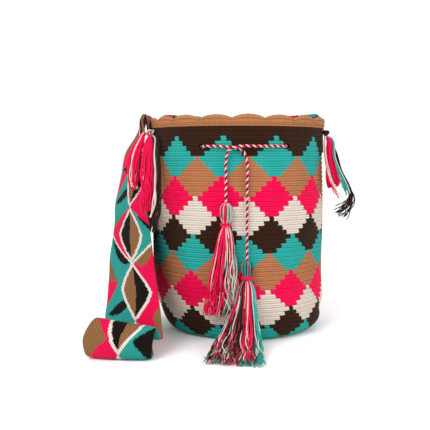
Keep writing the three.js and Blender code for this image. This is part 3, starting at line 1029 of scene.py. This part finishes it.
tassel("left_tassel", "tassel_left", LEFT_TASSEL, 120, left_colours, 11, 0.0)
tassel("right_tassel", "tassel_right", RIGHT_TASSEL, 170, right_colours, 12, -0.5)


WRAP_TURNS = 4
WRAP_TURN_STEPS = 20
WRAP_HALF_HEIGHT = 1.5
WRAP_RADIUS = 5.9
WRAP_UNEVEN = 0.25
WRAP_YARN = 0.72


def neck_wrap(name, node, centre, colour):
    """Yarn wound round a tassel's neck."""
    skin = Skin()
    steps = WRAP_TURNS * WRAP_TURN_STEPS + 1
    turn = np.linspace(0, WRAP_TURNS * 2 * math.pi, steps)
    height = centre[2] + np.linspace(-WRAP_HALF_HEIGHT, WRAP_HALF_HEIGHT, steps)
    radius = WRAP_RADIUS + WRAP_UNEVEN * np.sin(turn * 0.37)
    path = np.stack([centre[0] + radius * np.cos(turn), centre[1] + radius * np.sin(turn), height], axis=1)
    skin.tube(path, WRAP_YARN, colour)
    made = skin.object(name, THREAD)
    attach(made, "root")
    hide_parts(node)


neck_wrap("left_neck_wrap", "tassel_left_neck_wrap", (-16.6, -117.2, 143), "pink")
neck_wrap("right_neck_wrap", "tassel_right_neck_wrap", (8, -117.5, 81), "pink")


KNOT_YARN = 1.25
KNOT_SCALE, KNOT_STEP = 1.25, 0.1  # millimetres for each unit of the trefoil, and how much less the inner strand has
KNOT_DEPTH = 1.6


def knot(name, node, centre, colours):
    """Two strands tied in an overhand knot: a trefoil, and a smaller one turned a little inside it."""
    skin = Skin()
    t = np.linspace(0, 2 * math.pi, 49)
    for k, colour in enumerate(colours):
        a = t + k * 0.5
        x = np.sin(a) + 2 * np.sin(2 * a)
        y = np.cos(a) - 2 * np.cos(2 * a)
        z = -np.sin(3 * a)
        scale = KNOT_SCALE - KNOT_STEP * k
        path = np.array(centre) + scale * np.stack([x, KNOT_DEPTH * z, y], axis=1)
        skin.tube(path, KNOT_YARN, colour, sides=7)
    made = skin.object(name, THREAD)
    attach(made, "root")
    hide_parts(node)


LEFT_KNOT = around(-71, 115.3, 251)
RIGHT_KNOT = around(72, 115.3, 250)
knot("left_knot", "strap_knot_left", LEFT_KNOT, ("cream", "brown"))
knot("right_knot", "strap_knot_right", RIGHT_KNOT, ("brown", "brown"))


ROOT_DROP = 3.5  # the strands start so far under the middle of their knot
ROOT_HALF = 1.2
FRINGE_CORE = (0.2, 0.75)


def fringe(node, strands, colours, seed, curl, radius=STRAND_RADIUS):
    """Loose strands that start in a knot and hang down a bundle's route."""
    rng = random.Random(seed)
    x, y, z = LEFT_KNOT if "left" in node else RIGHT_KNOT
    root = (x, y, z - ROOT_DROP, ROOT_HALF, ROOT_HALF)
    bundle = bundle_frame([root, *FRINGES[node]])
    skin = Skin()
    for i in range(strands):
        turn = 2 * math.pi * (i + rng.uniform(-PLACE_JITTER, PLACE_JITTER)) / strands
        out = 1.0 if i % 2 else rng.uniform(*FRINGE_CORE)
        last = len(bundle[0]) - rng.choice((0, 0, 1, 2))
        yarn_strand(skin, bundle, turn, out, rng.choice(colours), rng, 0, last, curl * rng.uniform(0.4, 1), radius)
    made = skin.object(node + "_yarn", THREAD)
    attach(made, "root")
    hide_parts(node)


fringe("fringe_left_pink", 46, ("pink",), 21, 1.6, FAT_STRAND)
fringe("fringe_left_short", 52, ("pink",) * 9 + ("cream",), 28, 2.4, FAT_STRAND)
fringe("fringe_left_white", 4, ("cream",), 22, 2.2, 0.8)
fringe("fringe_left_dark", 14, ("brown",), 23, 1.8)
fringe("fringe_right_pink", 52, ("pink",), 24, 1.8, FAT_STRAND)
fringe("fringe_right_white", 10, ("cream", "cream", "pink"), 25, 2.6)
fringe("fringe_right_teal", 12, ("teal", "teal", "cream"), 26, 2.2)
fringe("fringe_right_dark", 22, ("brown",), 27, 4.6)


# ---------------------------------------------------------------- floor and light
FLOOR_HALF = 6.0  # metres
FLOOR_WHITE = 0.97
FLOOR_ROUGHNESS = 0.9
WORLD_STRENGTH = 1.05
LIT_POINT = (0, 0, 0.13)


def floor():
    mesh = bpy.data.meshes.new("floor")
    size = FLOOR_HALF
    mesh.from_pydata([(-size, -size, 0), (size, -size, 0), (size, size, 0), (-size, size, 0)], [], [(0, 1, 2, 3)])
    made = bpy.data.objects.new("floor", mesh)
    bpy.context.scene.collection.objects.link(made)
    material = bpy.data.materials.new("floor")
    material.use_nodes = True
    shader = material.node_tree.nodes["Principled BSDF"]
    shader.inputs["Base Color"].default_value = (FLOOR_WHITE, FLOOR_WHITE, FLOOR_WHITE, 1)
    shader.inputs["Roughness"].default_value = FLOOR_ROUGHNESS
    made.data.materials.append(material)


def area_light(name, at, size, watts):
    """A round light that faces the bag."""
    data = bpy.data.lights.new(name, "AREA")
    data.shape = "DISK"
    data.size = size
    data.energy = watts
    made = bpy.data.objects.new(name, data)
    made.location = at
    made.rotation_euler = (Vector(LIT_POINT) - Vector(at)).to_track_quat("-Z", "Y").to_euler()
    bpy.context.scene.collection.objects.link(made)


def lights():
    world = bpy.data.worlds.new("studio")
    world.use_nodes = True
    background = world.node_tree.nodes["Background"]
    background.inputs["Color"].default_value = (1, 1, 1, 1)
    background.inputs["Strength"].default_value = WORLD_STRENGTH
    bpy.context.scene.world = world
    area_light("key", (-0.9, -1.6, 1.5), size=1.2, watts=26)
    area_light("fill", (1.4, -1.3, 0.9), size=1.4, watts=12)
    bpy.context.scene.view_settings.view_transform = "Standard"


floor()
lights()
